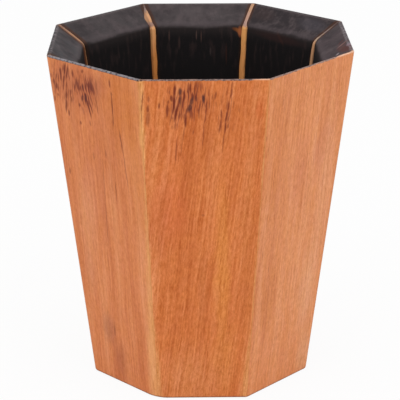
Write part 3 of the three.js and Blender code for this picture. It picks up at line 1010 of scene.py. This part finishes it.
def char_tones(f, number, colours, u, w, v, depth):
    """Grey rubbed char on the bevel with a painted highlight along the lip's inner edge, deep char below it,
    a pale worn lip, and burnt brown by the glue.
    """
    rim, seed = RIMS[number], BOARDS[number]["seed"]
    top, kink = HEIGHT / MM, BEVEL_FOOT[0] / MM
    broad = f.noise(u * 0.12, v * 0.25, seed + 19, 2.0)
    cloudy = f.noise(u * 0.35, depth * 0.3, v * 0.3 + seed, 3.0, 0.6)
    streaks = f.noise(u * 0.8, v * 0.18, seed + 23, 2.0)
    bevel = f.blend(rim["char"], "352f31", f.rise(broad, 0.4, 0.7) * 0.7)
    bevel = f.blend(bevel, "5c5152", f.rise(cloudy, 0.42, 0.75) * 0.6)
    # Painted highlight: a paler band along the lip's inner edge, where its rounding catches the light from
    # above
    bevel = f.blend(bevel, "665c5d", f.band(depth, 0.5, 0.8, 0.9, 1.3) * 0.5)
    mottle = f.noise(u * 0.55, depth * 0.6, v * 0.6 + seed, 3.0, 0.6)
    bevel = f.blend(bevel, "2e2629", (1.0 - f.rise(mottle, 0.3, 0.5)) * 0.3)
    bevel = f.blend(bevel, "6d6061", f.rise(mottle, 0.54, 0.75) * 0.3)
    low = kink + broad * 1.6 - 0.8
    bevel = f.blend(bevel, "5a5052", f.band(v - low, -0.5, 0.1, 0.2, 1.4) * 0.4)
    brown_streaks = f.rise(streaks, 0.5, 0.72) * f.rise(v, 62.0, 86.0)
    wall = f.blend(colours.char_black, "382a29", brown_streaks * 0.55)
    wall = f.blend(wall, "3a3231", f.rise(v, kink - 4.0, kink) * 0.5)
    char = f.blend(bevel, wall, 1.0 - f.rise(v - low, -1.0, 0.2))
    edge = w * -math.tan(STEP / 2) - abs(u)
    reach = rim.get("burnt", 0.0)
    burnt = 1.0 - f.rise(edge + (cloudy - 0.5) * 0.8, 0.9 + reach, 1.7 + reach)
    brown = f.blend("2c1a10", "4a2e20", f.rise(v - low, -1.0, 0.2))
    char = f.blend(char, brown, burnt * 0.75)
    flat = f.flat(u, v)
    for *dash, code, strength in CHAR_MARKS.get(number, ()):
        char = f.blend(char, code, f.dash(flat, *dash) * strength)
    speckle = f.noise(u * 1.1, depth * 1.1, seed + 29, 3.0, 0.7)
    on_lip = f.rise(v, top - 0.4, top - 0.2) * (1.0 - f.rise(depth, 0.8, 1.2))
    worn = on_lip * f.rise(speckle, 0.62 - rim["ash"] * 0.4, 0.82 - rim["ash"] * 0.4) * rim["ash"]
    return f.blend(char, rim.get("lip", colours.ash), worn)


def glue_finish(number, colours):
    """Cured glue, greyer on the bevel, more orange down the inside face, with painted shade along its
    borders.
    """
    at_lip, on_bevel, at_kink, high, deep, core, border_shade = GLUES[number]
    f, material = new_finish(f"glue_{number}")
    angle = (number - 0.5) * STEP
    u, w, v = f.place(angle)
    sideways, inward = ways(angle)
    u = u - v * (drift(number, HEIGHT).dot(sideways) / HEIGHT)
    w = w - v * (drift(number, HEIGHT).dot(inward) / HEIGHT)
    top, kink = HEIGHT / MM, BEVEL_FOOT[0] / MM
    mottle = f.noise(u * 0.9, w * 0.9, v * 0.5 + number, 3.0)
    level = v + (mottle - 0.5) * 1.5
    colour = f.blend(deep, high, f.rise(v, kink - 10.0, kink - 1.0))
    colour = f.blend(colour, at_kink, f.rise(level, kink - 0.6, kink + 0.2))
    colour = f.blend(colour, on_bevel, f.rise(level, kink + 0.4, kink + 1.6))
    colour = f.blend(colour, at_lip, f.rise(level, top - 2.2, top - 1.0))
    colour = f.blend(colour, colours.glue, f.rise(mottle, 0.5, 0.8) * 0.3)
    blotch = f.noise(u * 1.1, v * 0.35, number + 40.0, 2.0)
    on_wall = 1.0 - f.rise(v, kink - 1.0, kink)
    colour = f.blend(colour, "b06a30", f.rise(blotch, 0.5, 0.75) * on_wall * 0.4)
    # Painted shade: the bead's borders are darkened where its rounded sides turn down into the inside corner
    border = f.rise(abs(u) + (mottle - 0.5) * 0.4, core, core + 0.5)
    colour = f.blend(colour, "5c3420", border * border_shade)
    outer = 1.0 - f.rise(w + (outside(0) / MM + v * FLARE) * CORNER, 0.5, 1.2)
    colour = f.blend(colour, "c88850", outer)
    f.surface(colour, 0.4, mottle, 0.05 * MM, 0.3)
    return material


def panel_finish(colours):
    """Wood with its grain along X, charred above and bare below."""
    f, material = new_finish("panel_wood")
    u, w, v = f.place()
    grain = f.noise(u * 0.05, w * 0.9, v * 0.2, 3.0, 0.6)
    cloudy = f.noise(u * 0.09, w * 0.14, v * 0.1 + 3.0, 3.0, 0.6)
    char = f.blend(colours.char_black, "3a3130", f.rise(grain, 0.42, 0.7) * 0.8)
    char = f.blend(char, "0e0c0c", f.rise(cloudy, 0.45, 0.7) * 0.7)
    bare = f.tones(grain, ((0.3, "b2683a"), (0.5, "cd8150"), (0.7, "dd9764")))
    bare = f.blend(bare, "a8623c", f.rise(cloudy, 0.5, 0.75) * 0.4)
    high = levels("base_panel")[-1][0] / MM
    f.surface(f.blend(bare, char, f.rise(v, high - 1.0, high - 0.4)), 0.6, grain, 0.05 * MM, 0.4)
    return material


def seal_finish():
    """Cured glue that the char has browned in blotches, darkest where it meets the staves."""
    f, material = new_finish("seal_glue")
    u, w, v = f.place()
    mottle = f.noise(u * 0.5, w * 0.5, v * 0.5 + 5.0, 3.0, 0.6)
    blotch = f.noise(u * 0.16, w * 0.16, v * 0.2 + 9.0, 2.0)
    high = levels("base_seal")[-1][0] / MM
    colour = f.blend("cf8c50", "8e5a32", f.rise(blotch, 0.4, 0.62))
    colour = f.blend(colour, "e0a468", f.rise(mottle, 0.52, 0.7) * 0.6)
    colour = f.blend(colour, "4a2a1a", (1.0 - f.rise(mottle, 0.34, 0.46)) * 0.6)
    burnt = f.rise(v + (mottle - 0.5) * 1.2, high - 0.9, high - 0.2)
    colour = f.blend(colour, "3a2014", burnt * 0.8)
    f.surface(colour, 0.4, mottle, 0.1 * MM, 0.3)
    return material


def set_camera(scene):
    """Puts the camera where the photograph was taken from."""
    toward = Vector((
        -math.sin(VIEW_TURN) * math.cos(VIEW_ELEVATION),
        -math.cos(VIEW_TURN) * math.cos(VIEW_ELEVATION),
        math.sin(VIEW_ELEVATION)))
    bpy.ops.object.camera_add(
        location=VIEW_TARGET + toward * VIEW_DISTANCE,
        rotation=(-toward).to_track_quat("-Z", "Y").to_euler())
    camera = bpy.context.active_object
    camera.data.lens = VIEW_LENS
    camera.data.clip_start = 0.01
    scene.camera = camera


def lay_floor(white):
    """A pale floor that is seen as white, apart from the tumbler's shadow."""
    floor = add_primitive(bpy.ops.mesh.primitive_plane_add, size=FLOOR_SIZE)
    floor.name = "floor"
    f, material = new_finish("pale_floor")
    seen = f.node("ShaderNodeLightPath", {}, {}, "Is Camera Ray")
    matt = f.node("ShaderNodeBsdfDiffuse", {}, {"Color": (*white, 1)})
    lit = f.node("ShaderNodeEmission", {}, {"Color": (1, 1, 1, 1), "Strength": 1.0})
    mixed = f.node("ShaderNodeMixShader", {}, {0: seen * FLOOR_GLOW, 1: matt, 2: lit})
    f.node("ShaderNodeOutputMaterial", {}, {"Surface": mixed})
    floor.data.materials.append(material)


def light_studio(scene):
    """A white world that is seen brighter than it lights, and four soft lamps."""
    world = bpy.data.worlds.new("studio")
    world.use_nodes = True
    scene.world = world
    f = Finish(world.node_tree)
    rays = [f.node("ShaderNodeLightPath", {}, {}, name)
            for name in ("Is Camera Ray", "Is Glossy Ray", "Is Transmission Ray")]
    strength = SKY_LIGHT + reduce(Value.most, rays) * (1 - SKY_LIGHT)
    glow = f.node("ShaderNodeBackground", {}, {"Color": (1, 1, 1, 1), "Strength": strength})
    f.node("ShaderNodeOutputWorld", {}, {"Surface": glow})
    for name, (spot, power, size) in LAMPS.items():
        aim = (VIEW_TARGET - Vector(spot)).to_track_quat("-Z", "Y").to_euler()
        bpy.ops.object.light_add(type="AREA", location=spot, rotation=aim)
        lamp = bpy.context.active_object
        lamp.name = name
        lamp.data.energy = power
        lamp.data.size = size


class TUMBLER_OT_staves(bpy.types.Operator):
    """Model the eight staves and give each its own board"""

    bl_idname = "tumbler.staves"
    bl_label = "Staves"

    def execute(self, context):
        shape, colours = context.scene.tumbler_shape, context.scene.tumbler_colours
        cup = model_cup(shape)
        gap = shape.glue_film / 2
        for number in range(1, STAVES + 1):
            point, normal = mitre(number, -gap)
            back_point, back_normal = mitre(before(number), gap)
            stave = cut_out(cup, f"board_{number}", ((point, normal), (back_point, -back_normal)))
            smooth_over(stave)
            hand_over(stave, f"stave_{number}", stave_finish(number, colours))
        bpy.data.objects.remove(cup)
        return {"FINISHED"}


class TUMBLER_OT_glue_seams(bpy.types.Operator):
    """Model the glue film and the squeeze-out of each mitre joint"""

    bl_idname = "tumbler.glue_seams"
    bl_label = "Glue seams"

    def execute(self, context):
        shape, colours = context.scene.tumbler_shape, context.scene.tumbler_colours
        cup = model_cup(shape)
        gap = shape.glue_film / 2
        for number in range(1, STAVES + 1):
            angle = (number - 0.5) * STEP
            point, normal = mitre(number, gap)
            back_point, back_normal = mitre(number, -gap)
            planes = ((point, normal), (back_point, -back_normal), (Vector((0, 0, 0)), ways(angle)[1]))
            film = cut_out(cup, f"film_{number}", planes)
            bead = model_bead(number, shape)
            film.select_set(True)
            bpy.ops.object.join()
            bead.name = bead.data.name = f"glue_line_{number}"
            smooth_over(bead, 40)
            hand_over(bead, f"glue_seam_{number}", glue_finish(number, colours))
        bpy.data.objects.remove(cup)
        return {"FINISHED"}


class TUMBLER_OT_base(bpy.types.Operator):
    """Model the base panel and the glue that seals it"""

    bl_idname = "tumbler.base"
    bl_label = "Base"

    def execute(self, context):
        shape, colours = context.scene.tumbler_shape, context.scene.tumbler_colours
        hand_over(model_panel(shape), "base_panel", panel_finish(colours))
        hand_over(model_seal(shape), "base_seal", seal_finish())
        return {"FINISHED"}


class TUMBLER_OT_stage(bpy.types.Operator):
    """Set up the floor, the studio light and the camera"""

    bl_idname = "tumbler.stage"
    bl_label = "Stage"

    def execute(self, context):
        scene = context.scene
        scene.view_settings.view_transform = "Standard"
        set_camera(scene)
        lay_floor(scene.tumbler_colours.floor)
        light_studio(scene)
        return {"FINISHED"}


class TUMBLER_PT_sidebar(bpy.types.Panel):
    """The steps, the sizes and the colours"""

    bl_idname = "TUMBLER_PT_sidebar"
    bl_label = "Tumbler"
    bl_space_type = "VIEW_3D"
    bl_region_type = "UI"
    bl_category = "Tumbler"

    def draw(self, context):
        column = self.layout.column()
        for operator in OPERATORS:
            column.operator(operator.bl_idname)
        for group in (context.scene.tumbler_shape, context.scene.tumbler_colours):
            for name in group.__annotations__:
                column.prop(group, name)


OPERATORS = (TUMBLER_OT_staves, TUMBLER_OT_glue_seams, TUMBLER_OT_base, TUMBLER_OT_stage)
CLASSES = (TumblerShape, TumblerColours, *OPERATORS, TUMBLER_PT_sidebar)


def register():
    for cls in CLASSES:
        bpy.utils.register_class(cls)
    bpy.types.Scene.tumbler_shape = PointerProperty(type=TumblerShape)
    bpy.types.Scene.tumbler_colours = PointerProperty(type=TumblerColours)


def unregister():
    del bpy.types.Scene.tumbler_colours
    del bpy.types.Scene.tumbler_shape
    for cls in reversed(CLASSES):
        bpy.utils.unregister_class(cls)


def main():
    register()
    bpy.ops.tumbler.staves()
    bpy.ops.tumbler.glue_seams()
    bpy.ops.tumbler.base()
    bpy.ops.tumbler.stage()


if __name__ == "__main__":
    main()
